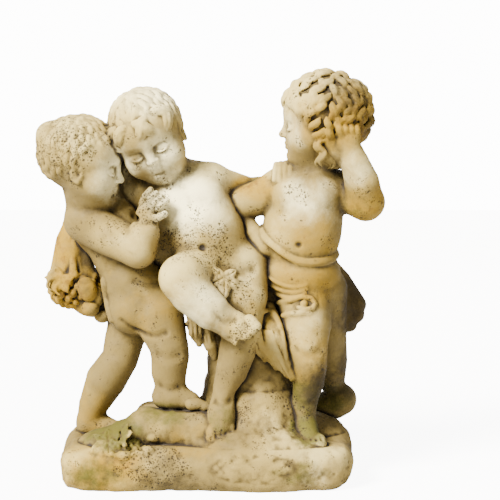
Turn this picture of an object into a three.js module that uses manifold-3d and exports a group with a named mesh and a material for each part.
// A garden statue carved from one block of stone: three chubby infants on a rocky plinth.
// The left one pushes up against the middle one, who sits back on a draped stump with one leg
// over the other, and the right one stands with a hand in his curls.
// Millimetres, +Z up, the viewer in front at -Y, the origin at the middle of the plinth's underside.
import * as THREE from "three";
import { mergeVertices } from "three/addons/utils/BufferGeometryUtils.js";
import { triTable } from "three/addons/objects/MarchingCubes.js";
import Module from "manifold-3d";

// Driving dimensions.
const FIGURE_HEIGHT = 815; // from the plinth's top to the highest curl
const PLINTH_HEIGHT = 85; // from the underside to the level the feet stand on
const PLINTH_LENGTH = 626;
const PLINTH_DEPTH = 300;
const PLINTH_CORNER = 55; // radius of the plinth's corners, seen from above
const PLINTH_EDGE = 16; // rounding of the worn edge round its top
const PLINTH_BATTER = 14; // how far the plinth's foot lies inside its top edge

// How fine the block is measured, and how many facets are left of it.
const STEP = 5;
const FACETS = 9780;
const FINE_WEIGHT = 7; // how much more a distance counts on faces than elsewhere

// The figures were drawn for this height, so a drawn length is a share of it.
const DRAWN_HEIGHT = 810.2;
const SHARE = FIGURE_HEIGHT / DRAWN_HEIGHT;

const vec = (x, y, z) => new THREE.Vector3(x, y, z);
const place = ([x, y, z]) => vec(x * SHARE, y * SHARE, PLINTH_HEIGHT + z * SHARE);

// Forms. Each has a box around it and a signed distance to its surface.

// A limb: a chain of round cones through points with a radius at each.
function chain(points, radii) {
  const low = vec(Infinity, Infinity, Infinity);
  const high = vec(-Infinity, -Infinity, -Infinity);
  points.forEach((p, i) => {
    low.min(p.clone().addScalar(-radii[i]));
    high.max(p.clone().addScalar(radii[i]));
  });
  const links = points.slice(1).map((b, i) => {
    const a = points[i];
    const along = b.clone().sub(a);
    return { a, along, length2: Math.max(along.lengthSq(), 1e-9), r: radii[i], grow: radii[i + 1] - radii[i] };
  });
  const distance = (x, y, z) => {
    let nearest = Infinity;
    for (const { a, along, length2, r, grow } of links) {
      const dx = x - a.x;
      const dy = y - a.y;
      const dz = z - a.z;
      let t = (dx * along.x + dy * along.y + dz * along.z) / length2;
      t = t < 0 ? 0 : t > 1 ? 1 : t;
      const ex = dx - along.x * t;
      const ey = dy - along.y * t;
      const ez = dz - along.z * t;
      const d = Math.sqrt(ex * ex + ey * ey + ez * ez) - r - grow * t;
      if (d < nearest) nearest = d;
    }
    return nearest;
  };
  return { low, high, distance };
}

// An egg: an ellipsoid whose three radii lie along three directions square to each other.
function egg(centre, radii, axes) {
  const [u, v, w] = axes;
  const [ru, rv, rw] = radii;
  const reach = vec(
    Math.hypot(u.x * ru, v.x * rv, w.x * rw),
    Math.hypot(u.y * ru, v.y * rv, w.y * rw),
    Math.hypot(u.z * ru, v.z * rv, w.z * rw),
  );
  const distance = (x, y, z) => {
    const dx = x - centre.x;
    const dy = y - centre.y;
    const dz = z - centre.z;
    const a = (dx * u.x + dy * u.y + dz * u.z) / ru;
    const b = (dx * v.x + dy * v.y + dz * v.z) / rv;
    const c = (dx * w.x + dy * w.y + dz * w.z) / rw;
    const k0 = Math.sqrt(a * a + b * b + c * c);
    const k1 = Math.sqrt((a * a) / (ru * ru) + (b * b) / (rv * rv) + (c * c) / (rw * rw));
    return k1 < 1e-9 ? -Math.min(ru, rv, rw) : (k0 * (k0 - 1)) / k1;
  };
  return { low: centre.clone().sub(reach), high: centre.clone().add(reach), distance };
}

// Three directions square to each other: the first along a vector, the second as near as can be to another.
function axesOf(first, second) {
  const u = first.clone().normalize();
  const v = second.clone().addScaledVector(u, -second.dot(u)).normalize();
  return [u, v, u.clone().cross(v)];
}

// The block of stone: signed distances on a grid, to which forms are added and from which they are cut.
class Stone {
  constructor(low, high) {
    this.low = low;
    this.size = ["x", "y", "z"].map((k) => Math.ceil((high[k] - low[k]) / STEP) + 1);
    this.field = new Float32Array(this.size[0] * this.size[1] * this.size[2]).fill(Stone.FAR);
  }

  static FAR = 80;

  // Puts change(old, distance) at each grid point near a form, but leaves the grid's outermost points
  // in the air, so that the stone's skin is closed.
  work(form, margin, change) {
    const [nx, ny] = this.size;
    const from = ["x", "y", "z"].map((k) => Math.max(1, Math.floor((form.low[k] - margin - this.low[k]) / STEP)));
    const to = ["x", "y", "z"].map((k, i) =>
      Math.min(this.size[i] - 2, Math.ceil((form.high[k] + margin - this.low[k]) / STEP)),
    );
    for (let k = from[2]; k <= to[2]; k++)
      for (let j = from[1]; j <= to[1]; j++)
        for (let i = from[0]; i <= to[0]; i++) {
          const at = (k * ny + j) * nx + i;
          const d = form.distance(this.low.x + i * STEP, this.low.y + j * STEP, this.low.z + k * STEP);
          this.field[at] = change(this.field[at], d);
        }
  }

  add(form, soft = 4) {
    this.work(form, soft + 2 * STEP, (old, d) => melt(old, d, soft));
  }

  cut(form, soft = 4) {
    this.work(form, soft + 2 * STEP, (old, d) => -melt(-old, d, soft));
  }

  join(other, soft) {
    for (let at = 0; at < this.field.length; at++) this.field[at] = melt(this.field[at], other.field[at], soft);
  }
}

// The lesser of two distances, melted together where they differ by less than soft.
function melt(a, b, soft) {
  const near = Math.max(soft - Math.abs(a - b), 0) / soft;
  return Math.min(a, b) - (near * near * soft) / 4;
}

// A sculptor's hand on one figure: it takes drawn places and lengths, and turns them into forms.
class Hand {
  constructor(stone, fineWork) {
    this.stone = stone;
    this.fineWork = fineWork;
  }

  limb(points, radii, soft = 10) {
    this.stone.add(chain(points.map(place), radii.map((r) => r * SHARE)), soft * SHARE);
  }

  lump(point, radii, soft = 12, along = [1, 0, 0], across = [0, 1, 0]) {
    this.stone.add(this.form(point, radii, along, across), soft * SHARE);
  }

  dig(point, radii, soft = 6, along = [1, 0, 0], across = [0, 1, 0]) {
    this.stone.cut(this.form(point, radii, along, across), soft * SHARE);
  }

  groove(points, radii, soft = 4) {
    this.stone.cut(chain(points.map(place), radii.map((r) => r * SHARE)), soft * SHARE);
  }

  form(point, radii, along, across) {
    return egg(place(point), radii.map((r) => r * SHARE), axesOf(vec(...along), vec(...across)));
  }
}

// A head, in its own directions: side to the left ear, front to the nose and up to the crown.
// Lengths on it are shares of its height from chin to crown.
class Head {
  constructor(hand, centre, height, front, up) {
    this.hand = hand;
    this.centre = vec(...centre);
    this.height = height;
    const [crown, face, side] = axesOf(vec(...up), vec(...front));
    this.up = crown;
    this.front = face;
    this.side = side.negate();
    hand.fineWork.push({ centre: place(this.at([0, 0.36, -0.22])), radius: 0.34 * height * SHARE });
  }

  at([a, b, c]) {
    return this.centre
      .clone()
      .addScaledVector(this.side, a * this.height)
      .addScaledVector(this.front, b * this.height)
      .addScaledVector(this.up, c * this.height)
      .toArray();
  }

  direction([a, b, c]) {
    return vec(0, 0, 0)
      .addScaledVector(this.side, a)
      .addScaledVector(this.front, b)
      .addScaledVector(this.up, c)
      .toArray();
  }

  lump(point, radii, soft, along = [1, 0, 0], across = [0, 1, 0]) {
    const sizes = radii.map((r) => r * this.height);
    this.hand.lump(this.at(point), sizes, soft * this.height, this.direction(along), this.direction(across));
  }

  dig(point, radii, soft) {
    const sizes = radii.map((r) => r * this.height);
    this.hand.dig(this.at(point), sizes, soft * this.height, this.direction([1, 0, 0]), this.direction([0, 1, 0]));
  }

  strand(points, radii, soft) {
    this.hand.limb(points.map((p) => this.at(p)), radii.map((r) => r * this.height), soft * this.height);
  }

  scratch(points, radii, soft) {
    this.hand.groove(points.map((p) => this.at(p)), radii.map((r) => r * this.height), soft * this.height);
  }
}

// The infant's face and skull, calm and round: one design for all three.
function skullAndFace(head) {
  head.lump([0, -0.06, 0.03], [0.4, 0.45, 0.405], 0.02);
  head.lump([0, 0.17, 0.02], [0.33, 0.23, 0.26], 0.1);
  head.lump([0, 0.13, -0.26], [0.3, 0.27, 0.27], 0.1);
  for (const s of [-1, 1]) head.lump([s * 0.19, 0.225, -0.25], [0.145, 0.14, 0.135], 0.08);
  head.lump([0, 0.3, -0.45], [0.105, 0.09, 0.08], 0.07);
  for (const s of [-1, 1]) {
    head.dig([s * 0.16, 0.455, -0.085], [0.09, 0.09, 0.062], 0.06);
    head.lump([s * 0.155, 0.335, -0.09], [0.08, 0.062, 0.05], 0.015);
  }
  head.strand([[0, 0.37, -0.03], [0, 0.42, -0.12], [0, 0.465, -0.195]], [0.03, 0.034, 0.047], 0.05);
  for (const s of [-1, 1]) head.lump([s * 0.043, 0.43, -0.21], [0.033, 0.037, 0.028], 0.02);
  head.lump([0, 0.365, -0.3], [0.11, 0.06, 0.075], 0.05);
  for (const s of [-1, 1]) {
    head.strand([[0, 0.428, -0.298], [s * 0.07, 0.39, -0.31]], [0.026, 0.016], 0.012);
    head.strand([[0, 0.415, -0.348], [s * 0.055, 0.39, -0.338]], [0.028, 0.016], 0.012);
  }
  for (const s of [-1, 1]) {
    head.lump([s * 0.39, -0.01, -0.13], [0.036, 0.08, 0.11], 0.02);
    head.dig([s * 0.43, 0.0, -0.13], [0.03, 0.045, 0.065], 0.02);
  }
}

// The height of the hairline over the ears' level, in degrees, at an angle round the head from the face.
function hairline(round) {
  const stops = [[0, 40], [50, 32], [75, 10], [100, -12], [140, -34], [180, -38]];
  const next = stops.findIndex(([angle]) => angle >= round);
  if (next <= 0) return stops[0][1];
  const [a0, h0] = stops[next - 1];
  const [a1, h1] = stops[next];
  return h0 + ((h1 - h0) * (round - a0)) / (a1 - a0);
}

// A steady scatter between 0 and 1, the same each time it is asked.
const scatter = (n) => {
  const s = Math.sin(n * 127.1 + 311.7) * 43758.5453;
  return s - Math.floor(s);
};

// Locks of hair in rings round the crown, each a tapering curl that runs down and turns in on itself.
function hair(head, { cap, rings, lock, turn, thick }) {
  const radii = [0.4 + cap, 0.45 + cap, 0.405 + cap];
  head.lump([0, -0.075, 0.045], radii.map((r) => r - 0.012), 0.02);
  const rad = Math.PI / 180;
  const crown = vec(0, -0.25, 1).normalize();
  const lowest = 132; // degrees from the crown to the nape
  const links = 4;
  let count = 0;
  for (let ring = 0; ring < rings; ring++) {
    const down = ((ring + 0.5) / rings) * lowest;
    const many = Math.max(3, Math.round((Math.sin(down * rad) * 2 * Math.PI) / (lock * 0.95)));
    for (let n = 0; n < many; n++) {
      count++;
      const round = ((n + 0.5 * (ring % 2) + 0.3 * scatter(count)) / many) * 360 - 180;
      const height = 90 - down + 8 * (scatter(count + 50) - 0.5);
      if (height < hairline(Math.abs(round))) continue;
      let spot = vec(
        Math.sin(round * rad) * Math.cos(height * rad),
        Math.cos(round * rad) * Math.cos(height * rad),
        Math.sin(height * rad),
      );
      const way = scatter(count + 9) < 0.5 ? -1 : 1;
      const heading = spot.clone().multiplyScalar(crown.dot(spot)).sub(crown).normalize();
      heading.applyAxisAngle(spot, -way * turn * 0.35);
      const points = [];
      const sizes = [];
      for (let i = 0; i <= links; i++) {
        const lift = thick * (0.5 * Math.sin((Math.PI * (i + 0.6)) / (links + 1)) - 0.1);
        points.push([
          spot.x * (radii[0] + lift),
          -0.075 + spot.y * (radii[1] + lift),
          0.045 + spot.z * (radii[2] + lift),
        ]);
        sizes.push(thick * (1 - 0.45 * (i / links)));
        heading.addScaledVector(spot, -heading.dot(spot)).normalize();
        heading.applyAxisAngle(spot, (way * turn) / links);
        spot = spot.clone().addScaledVector(heading, lock / links).normalize();
      }
      head.strand(points, sizes, 0.02);
    }
  }
}

// Fingers or toes: tapering rows from one knuckle line to one line of tips.
function digits(hand, knuckles, tips, radii, soft, bend = [0, 0, 0]) {
  const between = (line, t) => line[0].map((v, i) => v + (line[1][i] - v) * t);
  radii.forEach((r, n) => {
    const t = n / (radii.length - 1);
    const root = between(knuckles, t);
    const tip = between(tips, t);
    const middle = root.map((v, i) => (v + tip[i]) / 2 + bend[i]);
    hand.limb([root, middle, tip], [r, r, r * 0.85], soft);
  });
}

// The left infant leans back to the left, facing right, with his near arm up on the middle one's chest.
function leftInfant(hand) {
  hand.lump([-218, 4, 472], [66, 60, 74], 10, [0.5, 0, -0.87], [0, 1, 0]);
  hand.limb([[-205, 2, 440], [-178, 0, 385], [-160, -4, 350]], [60, 59, 66], 14);
  hand.lump([-128, -4, 306], [80, 68, 72], 16);
  hand.lump([-158, -22, 286], [56, 56, 52], 14);
  hand.lump([-182, 22, 292], [46, 44, 48], 10);
  hand.limb([[-252, -4, 492], [-266, -12, 556]], [46, 42], 12);
  hand.limb([[-103, -34, 276], [-80, -50, 212], [-77, -52, 190], [-80, -47, 155], [-76, -50, 104]],
    [56, 42, 41, 38, 29], 12);
  hand.limb([[-160, 22, 272], [-180, 20, 215], [-190, 12, 172], [-222, 28, 122], [-250, 36, 66], [-258, 38, 38]],
    [52, 43, 40, 44, 33, 29], 12);
  nearFoot(hand);
  hand.limb([[-264, 40, 20], [-232, 34, 18], [-206, 26, 12]], [27, 25, 20], 10);
  digits(hand, [[-212, 6, 10], [-212, 48, 10]], [[-188, 0, 8], [-194, 44, 7]], [12, 9, 9, 8.5, 8], 4);
  hand.limb([[-256, -32, 478], [-205, -66, 452], [-140, -92, 424]], [47, 43, 38], 12);
  hand.limb([[-140, -92, 424], [-128, -95, 458], [-124, -90, 492]], [37, 33, 22], 8);
  hand.limb([[-124, -90, 492], [-120, -84, 520]], [24, 22], 6);
  digits(hand, [[-128, -88, 530], [-104, -84, 514]], [[-112, -80, 552], [-82, -76, 526]], [9, 9, 9, 8], 3, [2, -6, 0]);
  hand.limb([[-118, -98, 508], [-98, -94, 506]], [10, 9], 4);
  hand.limb([[-198, 4, 508], [-180, -28, 490], [-166, -40, 464]], [38, 31, 25], 8);
  hand.groove([[-190, -72, 262], [-158, -84, 244], [-120, -88, 240]], [5, 6, 4], 8);
  const head = new Head(hand, [-273, -18, 617], 182, [0.98, -0.12, -0.14], [0.14, 0, 1]);
  skullAndFace(head);
  hair(head, { cap: 0.012, rings: 5, lock: 0.55, turn: 1.6, thick: 0.05 });
}

// His near foot, on the ledge.
function nearFoot(hand) {
  hand.limb([[-92, -44, 100], [-60, -52, 102], [-34, -58, 93]], [26, 27, 21], 10);
  digits(hand, [[-32, -78, 90], [-36, -38, 90]], [[-4, -76, 86], [-12, -44, 86]], [12, 9, 9, 8.5, 8], 4);
}

// The middle infant sits back with his head bowed against his neighbour and his right leg over the left.
function middleInfant(hand) {
  hand.lump([-36, -2, 522], [76, 60, 74], 12, [0.9, 0, 0.3], [0, 1, 0]);
  hand.lump([-2, -24, 446], [88, 76, 84], 18, [0.93, 0, 0.37], [0, 1, 0]);
  hand.lump([40, -2, 380], [82, 68, 68], 18);
  hand.limb([[-62, -4, 560], [-92, -26, 612]], [46, 42], 14);
  hand.limb([[-50, 4, 568], [8, 6, 558]], [40, 43], 14);
  hand.limb([[10, 6, 558], [52, 26, 548], [92, 40, 538], [132, 34, 546], [156, 20, 572]], [41, 33, 28, 24, 18], 10);
  hand.limb([[156, 20, 572], [166, 4, 590]], [19, 17], 6);
  digits(hand, [[156, 0, 596], [186, 2, 600]], [[156, -36, 580], [184, -38, 580]], [9, 9, 9, 8], 3, [0, -2, 8]);
  hand.limb([[-80, 8, 540], [-150, 52, 520], [-232, 66, 520], [-290, 52, 486]], [42, 34, 30, 24], 12);
  hand.limb([[4, -28, 376], [-46, -122, 368]], [66, 49], 14);
  hand.limb([[-46, -122, 368], [-27, -132, 338], [11, -134, 302], [52, -128, 270]], [48, 46, 40, 28], 10);
  hand.lump([76, -132, 254], [46, 36, 27], 12, [0.72, -0.35, -0.6], [0.6, 0.05, 0.8]);
  digits(hand, [[102, -138, 262], [66, -142, 228]], [[114, -152, 248], [80, -156, 216]], [12, 9.5, 9, 9, 8.5], 4);
  hand.limb([[76, -16, 372], [86, -52, 322], [76, -78, 250]], [62, 46, 40], 14);
  hand.limb([[76, -78, 250], [67, -76, 205], [55, -70, 162], [40, -72, 126], [35, -76, 100]], [40, 39, 34, 25, 22], 10);
  hand.lump([32, -90, 68], [48, 30, 24], 12, [-0.12, -0.42, -0.9], [1, 0, 0]);
  digits(hand, [[14, -102, 44], [52, -96, 54]], [[12, -114, 27], [54, -104, 38]], [13, 10, 9.5, 9, 8.5], 4);
  vineLeaf(hand, [30, -92, 356], 36, [0.25, -0.86, 0.35], [-0.15, -0.3, -0.95]);
  const head = new Head(hand, [-130, -48, 677], 190, [0.08, -0.86, -0.5], [-0.42, -0.36, 0.83]);
  skullAndFace(head);
  hair(head, { cap: -0.005, rings: 5, lock: 0.5, turn: 2.6, thick: 0.05 });
}

// A lobed leaf that lies against the body, with its stalk upwards.
function vineLeaf(hand, centre, reach, out, down) {
  const [tip, face] = axesOf(vec(...down), vec(...out));
  const side = tip.clone().cross(face);
  for (const degrees of [-118, -62, 0, 62, 118]) {
    const angle = (degrees * Math.PI) / 180;
    const way = tip.clone().multiplyScalar(Math.cos(angle)).addScaledVector(side, Math.sin(angle));
    const length = reach * (degrees === 0 ? 0.62 : 0.5);
    const middle = vec(...centre).addScaledVector(way, length * 0.85);
    hand.lump(middle.toArray(), [length, length * 0.52, 6], 5, way.toArray(), way.clone().cross(face).toArray());
  }
}

// The right infant stands on his right leg, his left hand in his hair and a cloth knotted at his hip.
function rightInfant(hand) {
  hand.lump([218, 0, 522], [80, 60, 72], 12);
  hand.lump([204, -16, 446], [87, 74, 76], 18);
  hand.lump([206, 0, 362], [76, 64, 62], 18);
  hand.limb([[228, 4, 560], [240, 6, 630]], [44, 42], 14);
  hand.limb([[210, 2, 560], [160, 4, 548]], [40, 42], 12);
  hand.limb([[240, 2, 560], [286, 4, 542]], [36, 40], 12);
  hand.limb([[158, 4, 546], [112, 4, 524], [76, 10, 512]], [41, 38, 37], 10);
  hand.limb([[76, 10, 512], [40, 50, 520], [-20, 64, 520]], [36, 27, 22], 8);
  hand.limb([[288, 4, 540], [342, -28, 518]], [42, 40], 10);
  hand.limb([[338, -30, 520], [330, -50, 562], [315, -58, 604], [305, -60, 636]], [40, 37, 30, 23], 5);
  hand.lump([300, -66, 656], [25, 17, 24], 6);
  digits(hand, [[286, -72, 668], [314, -68, 668]], [[278, -74, 694], [316, -68, 690]], [9, 9, 9, 8.5], 3, [0, -4, 0]);
  hand.limb([[208, -12, 322], [216, -42, 257], [217, -56, 213], [220, -52, 169], [219, -46, 132], [211, -46, 88]],
    [58, 52, 43, 39, 34, 26], 14);
  hand.limb([[211, -38, 26], [214, -60, 32], [219, -88, 22]], [26, 27, 23], 10);
  digits(hand, [[240, -94, 18], [200, -92, 17]], [[244, -114, 13], [200, -110, 12]], [13, 10, 9.5, 9, 8.5], 4);
  hand.limb([[250, 18, 322], [268, 44, 218], [274, 62, 160], [278, 82, 104]], [56, 38, 35, 27], 14);
  hand.limb([[296, 84, 66], [282, 90, 56], [258, 98, 46], [240, 98, 36]], [36, 36, 32, 26], 10);
  cloth(hand);
  const head = new Head(hand, [247, 2, 700], 192, [-1, -0.06, -0.02], [-0.02, 0, 1]);
  skullAndFace(head);
  hair(head, { cap: 0.03, rings: 6, lock: 0.5, turn: 3.4, thick: 0.075 });
}

// The cloth: a rolled edge round the belly, folds that gather in a knot on the thigh, and a flap behind.
function cloth(hand) {
  const roll = [[88, -36, 468], [118, -60, 432], [160, -76, 404], [204, -84, 391], [256, -72, 389], [290, -40, 396],
    [292, 10, 408], [266, 56, 420], [210, 72, 430], [150, 62, 440], [112, 24, 452], [88, -36, 468]];
  hand.limb(roll, roll.map(() => 9), 4);
  hand.lump([204, -4, 366], [82, 71, 58], 8);
  for (const [drop, sag] of [[0, 10], [16, 16], [32, 22]])
    hand.limb([[128, -36, 372 - drop], [150, -62, 358 - drop - sag * 0.4], [184, -78, 338 - drop * 0.8], [216, -78, 326 - drop * 0.5]],
      [8, 9, 8, 6], 5);
  hand.lump([216, -80, 318], [16, 12, 14], 5);
  hand.limb([[216, -84, 316], [200, -92, 300], [176, -88, 296]], [9, 10, 6], 5);
  for (const [x, z, r] of [[330, 284, 20], [326, 262, 20], [312, 240, 18], [292, 226, 16]])
    hand.limb([[250, 44, 386], [(250 + x) / 2 + 4, 58, (386 + z) / 2 + 2], [x, 62, z]], [24, 24, r], 7);
}

// The stump, pelt and rocks behind and between them.
function ground(hand) {
  hand.limb([[66, 34, 0], [66, 34, 150], [64, 32, 320]], [88, 66, 66], 20);
  hand.limb([[108, 10, -30], [108, 4, 60], [108, 8, 122], [106, 24, 190]], [124, 98, 66, 46], 24);
  hand.lump([196, 30, -6], [110, 84, 56], 24);
  for (const y of [-72, -28, 16, 56]) hand.limb([[-128, y, 36], [-70, y - 6, 40], [0, y, 40]], [33, 36, 36], 16);
  hand.limb([[-128, -64, 20], [-190, -84, 4], [-250, -70, -6]], [26, 24, 20], 20);
  hand.lump([96, -70, 0], [128, 62, 46], 30);
  for (const [tail, width] of [[[172, -72, 176], 22], [[186, -66, 146], 22], [[158, -64, 178], 18]])
    hand.limb([[116, -40, 282], [(116 + tail[0]) / 2, -66, (282 + tail[2]) / 2], tail], [16, width, 7], 6);
  hand.limb([[132, -34, 290], [150, -52, 252], [166, -54, 214]], [18, 18, 8], 6);
  hand.limb([[-28, -36, 280], [-22, -62, 244], [-14, -64, 218]], [18, 15, 7], 6);
  hand.limb([[0, -46, 240], [10, -58, 212], [18, -52, 186]], [20, 16, 7], 6);
  grapesOnThePlinth(hand);
}

// A vine leaf and a few grapes lying at the plinth's front.
function grapesOnThePlinth(hand) {
  vineLeaf(hand, [-176, -104, 26], 44, [0, -0.5, 0.85], [-0.9, -0.35, -0.2]);
  for (let n = 0; n < 12; n++) {
    const row = Math.floor(n / 4);
    hand.lump([-140 + 15 * (n % 4) - 6 * row, -118 + 8 * row, 6 + 9 * row], [9, 9, 9], 3);
  }
}

// The cloth sling behind the left infant, heavy with grapes, leaves and two round fruits.
function slingOfFruit(hand) {
  for (const [x, y, r] of [[-322, 34, 20], [-306, 12, 20], [-286, 4, 18], [-262, 20, 20]])
    hand.limb([[-280, 46, 486], [(x - 292) / 2, (y + 40) / 2, 430], [x, y, 360]], [22, 21, r], 8);
  hand.lump([-284, 34, 336], [52, 48, 46], 12);
  hand.lump([-258, 36, 300], [42, 40, 30], 12);
  const rad = Math.PI / 180;
  for (let n = 0; n < 34; n++) {
    const height = 40 - (n / 34) * 118;
    const round = n * 137.5;
    const r = 9.5 + 3 * scatter(n);
    hand.lump(
      [
        -286 + 52 * Math.cos(round * rad) * Math.cos(height * rad),
        32 + 48 * Math.sin(round * rad) * Math.cos(height * rad),
        334 + 46 * Math.sin(height * rad),
      ],
      [r, r, r],
      3,
    );
  }
  vineLeaf(hand, [-250, -24, 344], 36, [0.1, -1, 0.1], [0.2, -0.1, -1]);
  hand.lump([-252, -6, 282], [19, 19, 19], 3);
  hand.lump([-236, 6, 262], [16, 16, 15], 3);
}

// The plinth: a worn slab with round corners, narrower at its foot, that reaches a little below
// the underside so that one straight cut leaves it flat.
function plinth(stone) {
  const spare = 3 * STEP;
  const half = vec(PLINTH_LENGTH / 2, PLINTH_DEPTH / 2, (PLINTH_HEIGHT + spare) / 2);
  const middle = (PLINTH_HEIGHT - spare) / 2;
  const form = {
    low: vec(-half.x, -half.y, -spare),
    high: vec(half.x, half.y, PLINTH_HEIGHT),
    distance(x, y, z) {
      const inset = PLINTH_BATTER * Math.min(1, Math.max(0, 1 - z / (PLINTH_HEIGHT - PLINTH_EDGE)));
      const qx = Math.abs(x) - (half.x - inset - PLINTH_CORNER);
      const qy = Math.abs(y) - (half.y - inset - PLINTH_CORNER);
      const outline = Math.hypot(Math.max(qx, 0), Math.max(qy, 0)) + Math.min(Math.max(qx, qy), 0) - PLINTH_CORNER;
      const a = outline + PLINTH_EDGE;
      const b = Math.abs(z - middle) - half.z + PLINTH_EDGE;
      return Math.hypot(Math.max(a, 0), Math.max(b, 0)) + Math.min(Math.max(a, b), 0) - PLINTH_EDGE;
    },
  };
  stone.add(form, 1);
  // Low swellings along its four sides, where the rock was left rough.
  for (const [sx, sy] of [[1, 0], [-1, 0], [0, 1], [0, -1]]) {
    const many = sx ? 3 : 7;
    const [out, run] = sx ? [half.x, half.y] : [half.y, half.x];
    for (let n = 0; n < many; n++) {
      const seed = n + 11 * sx + 23 * sy;
      const along = (run - 1.7 * PLINTH_CORNER) * ((2 * n) / (many - 1) - 1);
      const height = PLINTH_HEIGHT * (0.3 + 0.45 * scatter(seed));
      const inset = out - PLINTH_BATTER * 0.6 - PLINTH_CORNER * 0.3;
      const middle = vec(sx * inset + Math.abs(sy) * along, sy * inset + Math.abs(sx) * along, height);
      const radii = [PLINTH_CORNER * (1 + 0.4 * scatter(seed + 3)), PLINTH_CORNER * 0.4, PLINTH_HEIGHT * 0.4];
      stone.add(egg(middle, radii, axesOf(vec(Math.abs(sy), Math.abs(sx), 0), vec(sx, sy, 0))), 18);
    }
  }
}

// Where two bits of stone meet only corner to corner across a square of the grid, the air between
// them that is nearest to stone is filled, so that the skin can close in one way only.
function closeCorners({ field, size: [nx, ny] }) {
  const squares = [[1, nx], [1, nx * ny], [nx, nx * ny]];
  for (let changed = true; changed; ) {
    changed = false;
    for (let at = 0; at < field.length; at++)
      for (const [p, q] of squares) {
        const stone = field[at] < 0;
        if (stone !== field[at + p + q] < 0 || stone === field[at + p] < 0 || stone === field[at + q] < 0) continue;
        const air = stone ? [at + p, at + q] : [at, at + p + q];
        field[field[air[0]] < field[air[1]] ? air[0] : air[1]] = -STEP / 8;
        changed = true;
      }
  }
}

// The points of the grid that a way leads to from one of them, through air alone or stone alone.
function reached({ field, size: [nx, ny, nz] }, start) {
  const seen = new Uint8Array(field.length);
  const inStone = field[start] < 0;
  const queue = [start];
  seen[start] = 1;
  const visit = (at) => {
    if (seen[at] || field[at] < 0 !== inStone) return;
    seen[at] = 1;
    queue.push(at);
  };
  while (queue.length) {
    const at = queue.pop();
    const i = at % nx;
    const j = Math.floor(at / nx) % ny;
    const k = Math.floor(at / (nx * ny));
    if (i > 0) visit(at - 1);
    if (i < nx - 1) visit(at + 1);
    if (j > 0) visit(at - nx);
    if (j < ny - 1) visit(at + nx);
    if (k > 0) visit(at - nx * ny);
    if (k < nz - 1) visit(at + nx * ny);
  }
  return seen;
}

// Air that no way leads to from outside becomes stone, and stone that isn't joined to the plinth, air.
function makeOnePiece(stone) {
  const { field, low, size: [nx, ny] } = stone;
  closeCorners(stone);
  const outside = reached(stone, 0);
  for (let at = 0; at < field.length; at++) if (field[at] >= 0 && !outside[at]) field[at] = -STEP;
  const [i, j, k] = [-low.x, -low.y, PLINTH_HEIGHT / 2 - low.z].map((length) => Math.round(length / STEP));
  const joined = reached(stone, (k * ny + j) * nx + i);
  for (let at = 0; at < field.length; at++) if (field[at] < 0 && !joined[at]) field[at] = STEP;
}

// The surface of the block as triangles, cell by cell, with one point on each edge of the grid
// that the surface crosses.
function skin(stone) {
  const [nx, ny, nz] = stone.size;
  const { field, low } = stone;
  const rise = nx * ny;
  const corners = [0, 1, nx + 1, nx, rise, rise + 1, rise + nx + 1, rise + nx];
  const edges = [[0, 1], [1, 2], [3, 2], [0, 3], [4, 5], [5, 6], [7, 6], [4, 7], [0, 4], [1, 5], [2, 6], [3, 7]];
  const steps = new Map([[1, 0], [nx, 1], [rise, 2]]);
  const found = new Map();
  const positions = [];
  const triangles = [];
  const crossing = (base, [from, to]) => {
    const a = base + corners[from];
    const b = base + corners[to];
    const axis = steps.get(b - a);
    const key = a * 3 + axis;
    let index = found.get(key);
    if (index === undefined) {
      index = positions.length / 3;
      found.set(key, index);
      const spot = [a % nx, Math.floor(a / nx) % ny, Math.floor(a / rise)];
      // A point that keeps off the grid's own points leaves no needle-thin triangle.
      spot[axis] += Math.min(0.94, Math.max(0.06, field[a] / (field[a] - field[b])));
      positions.push(low.x + STEP * spot[0], low.y + STEP * spot[1], low.z + STEP * spot[2]);
    }
    return index;
  };
  for (let k = 0; k < nz - 1; k++)
    for (let j = 0; j < ny - 1; j++)
      for (let i = 0; i < nx - 1; i++) {
        const base = (k * ny + j) * nx + i;
        let kind = 0;
        for (let c = 0; c < 8; c++) if (field[base + corners[c]] < 0) kind |= 1 << c;
        for (let at = kind * 16; triTable[at] !== -1; at += 3)
          for (const turn of [0, 2, 1]) triangles.push(crossing(base, edges[triTable[at + turn]]));
      }
  return { positions: Float64Array.from(positions), triangles: Uint32Array.from(triangles) };
}

// A heap of edges with the cheapest on top.
class Heap {
  constructor() {
    this.items = [];
  }

  push(item) {
    const { items } = this;
    let at = items.push(item) - 1;
    while (at > 0) {
      const parent = (at - 1) >> 1;
      if (items[parent].price <= item.price) break;
      items[at] = items[parent];
      at = parent;
    }
    items[at] = item;
  }

  pop() {
    const { items } = this;
    const top = items[0];
    const item = items.pop();
    const size = items.length;
    if (size === 0) return top;
    let at = 0;
    for (;;) {
      let child = 2 * at + 1;
      if (child >= size) break;
      if (child + 1 < size && items[child + 1].price < items[child].price) child++;
      if (items[child].price >= item.price) break;
      items[at] = items[child];
      at = child;
    }
    items[at] = item;
    return top;
  }
}

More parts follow.
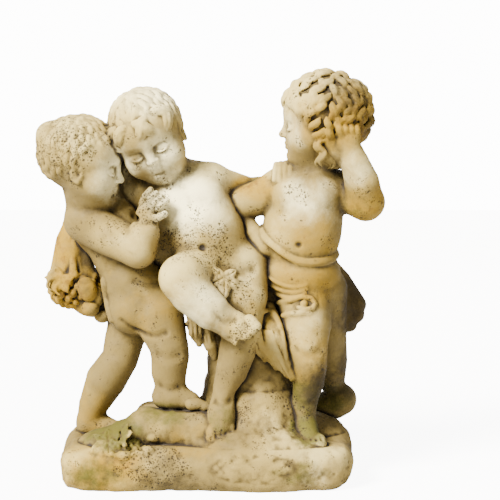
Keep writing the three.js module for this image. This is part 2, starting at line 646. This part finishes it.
// Takes facets away where the surface is flattest. Each corner keeps the sum of the squared
// distances to the planes that met there, and the edge whose two ends can be moved to one point
// at the least sum goes first. Within the balls of fine work a distance weighs more.
function thin({ positions, triangles }, facets, fineWork) {
  const count = positions.length / 3;
  const sums = new Float64Array(count * 10);
  const around = Array.from({ length: count }, () => []);
  const version = new Uint32Array(count);
  const mark = new Int32Array(count).fill(-1);
  const n = new Float64Array(3);
  // The normal of the triangle a, b, c, as long as twice its area, with the point in the place of a.
  const normalFrom = (x, y, z, b, c) => {
    const ux = positions[b * 3] - x;
    const uy = positions[b * 3 + 1] - y;
    const uz = positions[b * 3 + 2] - z;
    const vx = positions[c * 3] - x;
    const vy = positions[c * 3 + 1] - y;
    const vz = positions[c * 3 + 2] - z;
    n[0] = uy * vz - uz * vy;
    n[1] = uz * vx - ux * vz;
    n[2] = ux * vy - uy * vx;
    return Math.hypot(n[0], n[1], n[2]);
  };
  for (let t = 0; t < triangles.length; t += 3) {
    const [a, b, c] = [triangles[t], triangles[t + 1], triangles[t + 2]];
    const [x, y, z] = [positions[a * 3], positions[a * 3 + 1], positions[a * 3 + 2]];
    const size = normalFrom(x, y, z, b, c) || 1e-12;
    const plane = [n[0] / size, n[1] / size, n[2] / size, 0];
    plane[3] = -(plane[0] * x + plane[1] * y + plane[2] * z);
    const fine = fineWork.some(({ centre, radius }) => Math.hypot(x - centre.x, y - centre.y, z - centre.z) < radius);
    const weight = fine ? size * FINE_WEIGHT : size;
    for (const v of [a, b, c]) {
      around[v].push(t);
      let at = v * 10;
      for (let i = 0; i < 4; i++) for (let j = i; j < 4; j++) sums[at++] += plane[i] * plane[j] * weight;
    }
  }
  const q = new Float64Array(10);
  const best = new Float64Array(3);
  // Finds the best point for an edge, and its price: the sum there and a small charge for length,
  // so that even parts keep even triangles.
  const judge = (v, w) => {
    for (let i = 0; i < 10; i++) q[i] = sums[v * 10 + i] + sums[w * 10 + i];
    const mx = (positions[v * 3] + positions[w * 3]) / 2;
    const my = (positions[v * 3 + 1] + positions[w * 3 + 1]) / 2;
    const mz = (positions[v * 3 + 2] + positions[w * 3 + 2]) / 2;
    const span = 2 * Math.hypot(positions[v * 3] - mx, positions[v * 3 + 1] - my, positions[v * 3 + 2] - mz);
    const hold = 1e-3 * (q[0] + q[4] + q[7]) + 1e-9;
    const [a, b, c, d, e, f] = [q[0] + hold, q[1], q[2], q[4] + hold, q[5], q[7] + hold];
    const [r, s, t] = [hold * mx - q[3], hold * my - q[6], hold * mz - q[8]];
    const det = a * (d * f - e * e) + b * (c * e - b * f) + c * (b * e - c * d);
    best[0] = ((d * f - e * e) * r + (c * e - b * f) * s + (b * e - c * d) * t) / det;
    best[1] = ((c * e - b * f) * r + (a * f - c * c) * s + (b * c - a * e) * t) / det;
    best[2] = ((b * e - c * d) * r + (b * c - a * e) * s + (a * d - b * b) * t) / det;
    if (!(Math.hypot(best[0] - mx, best[1] - my, best[2] - mz) < 2 * span)) best.set([mx, my, mz]);
    const [x, y, z] = best;
    const sum =
      q[0] * x * x + q[4] * y * y + q[7] * z * z + q[9] +
      2 * (q[1] * x * y + q[2] * x * z + q[5] * y * z + q[3] * x + q[6] * y + q[8] * z);
    return Math.max(0, sum) + 2e-4 * span ** 4;
  };
  const heap = new Heap();
  const offer = (v, w) => heap.push({ v, w, price: judge(v, w), seenV: version[v], seenW: version[w] });
  for (let t = 0; t < triangles.length; t += 3)
    for (let i = 0; i < 3; i++) {
      const v = triangles[t + i];
      const w = triangles[t + ((i + 1) % 3)];
      if (v < w) offer(v, w);
    }
  // How many corners are next to both ends of an edge; two is right for a closed skin.
  const shared = (v, w) => {
    for (const t of around[v]) for (let i = 0; i < 3; i++) mark[triangles[t + i]] = v;
    let many = 0;
    for (const t of around[w])
      for (let i = 0; i < 3; i++) {
        const corner = triangles[t + i];
        if (corner !== v && corner !== w && mark[corner] === v) {
          many++;
          mark[corner] = -1;
        }
      }
    for (const t of around[v]) for (let i = 0; i < 3; i++) mark[triangles[t + i]] = -1;
    return many;
  };
  // Whether a triangle round v would turn over or fold thin, were v moved to the best point.
  const turnsOver = (v, gone) => {
    for (const t of around[v]) {
      const at = triangles[t] === v ? 0 : triangles[t + 1] === v ? 1 : 2;
      const b = triangles[t + ((at + 1) % 3)];
      const c = triangles[t + ((at + 2) % 3)];
      if (b === gone || c === gone) continue;
      const before = normalFrom(positions[v * 3], positions[v * 3 + 1], positions[v * 3 + 2], b, c);
      const [x, y, z] = n;
      const after = normalFrom(best[0], best[1], best[2], b, c);
      if (after < 0.05 || x * n[0] + y * n[1] + z * n[2] < 0.25 * before * after) return true;
    }
    return false;
  };
  let left = triangles.length / 3;
  while (left > facets && heap.items.length) {
    const { v, w, seenV, seenW } = heap.pop();
    if (!around[v] || !around[w] || seenV !== version[v] || seenW !== version[w]) continue;
    if (shared(v, w) !== 2) continue;
    judge(v, w);
    if (turnsOver(v, w) || turnsOver(w, v)) continue;
    positions.set(best, v * 3);
    for (let i = 0; i < 10; i++) sums[v * 10 + i] += sums[w * 10 + i];
    for (const t of around[w]) {
      const ends = [triangles[t], triangles[t + 1], triangles[t + 2]];
      if (ends.includes(v)) {
        left--;
        for (const end of ends) if (end !== w) around[end] = around[end].filter((other) => other !== t);
        triangles[t] = triangles[t + 1];
      } else {
        triangles[t + ends.indexOf(w)] = v;
        around[v].push(t);
      }
    }
    around[w] = null;
    version[v]++;
    const near = new Set(around[v].flatMap((t) => [triangles[t], triangles[t + 1], triangles[t + 2]]));
    near.delete(v);
    for (const other of near) offer(v, other);
  }
  // The corners that are left, numbered anew.
  const number = new Map();
  const kept = { positions: [], triangles: [] };
  around.forEach((list, v) => {
    if (!list || !list.length) return;
    number.set(v, number.size);
    kept.positions.push(positions[v * 3], positions[v * 3 + 1], positions[v * 3 + 2]);
  });
  for (let t = 0; t < triangles.length; t += 3)
    if (triangles[t] !== triangles[t + 1])
      for (let i = 0; i < 3; i++) kept.triangles.push(number.get(triangles[t + i]));
  return kept;
}

const wasm = await Module();
wasm.setup();

// A closed skin as a solid.
const solidOf = ({ positions, triangles }) =>
  new wasm.Manifold(
    new wasm.Mesh({ numProp: 3, vertProperties: Float32Array.from(positions), triVerts: Uint32Array.from(triangles) }),
  );

// A box as a skin with one point to each corner.
function boxSkin(box) {
  const bare = box.clone();
  bare.deleteAttribute("normal");
  bare.deleteAttribute("uv");
  const merged = mergeVertices(bare);
  return { positions: merged.getAttribute("position").array, triangles: merged.index.array };
}

// The three infants, their fruit, the rocks and the plinth are one block of stone.
function carve() {
  const margin = 4 * STEP;
  const low = vec(-400 * SHARE - margin, -PLINTH_DEPTH / 2 - 40 * SHARE - margin, -margin + STEP / 2);
  const high = vec(420 * SHARE + margin, PLINTH_DEPTH / 2 + margin, PLINTH_HEIGHT + FIGURE_HEIGHT + margin);
  const whole = new Stone(low, high);
  const fineWork = [];
  plinth(whole);
  for (const [figure, crease] of [[ground, 12], [slingOfFruit, 5], [leftInfant, 4], [middleInfant, 4], [rightInfant, 4]]) {
    const part = new Stone(low, high);
    figure(new Hand(part, fineWork));
    whole.join(part, crease * SHARE);
  }
  makeOnePiece(whole);
  const rough = thin(skin(whole), FACETS, fineWork);
  // One saw cut makes the underside flat.
  const room = 4 * Math.max(PLINTH_LENGTH, FIGURE_HEIGHT);
  const below = new THREE.BoxGeometry(room, room, room).translate(0, 0, -room / 2);
  const mesh = solidOf(rough).subtract(solidOf(boxSkin(below))).getMesh();
  const geometry = new THREE.BufferGeometry();
  geometry.setAttribute("position", new THREE.BufferAttribute(Float32Array.from(mesh.vertProperties), 3));
  geometry.setIndex(Array.from(mesh.triVerts));
  geometry.computeVertexNormals();
  return geometry;
}

const weatheredStone = new THREE.MeshStandardMaterial({ color: 0xd8cba6, roughness: 0.9, metalness: 0 });
const statue = new THREE.Mesh(carve(), weatheredStone);
statue.name = "putto_group";

const group = new THREE.Group();
group.add(statue);

export default group;
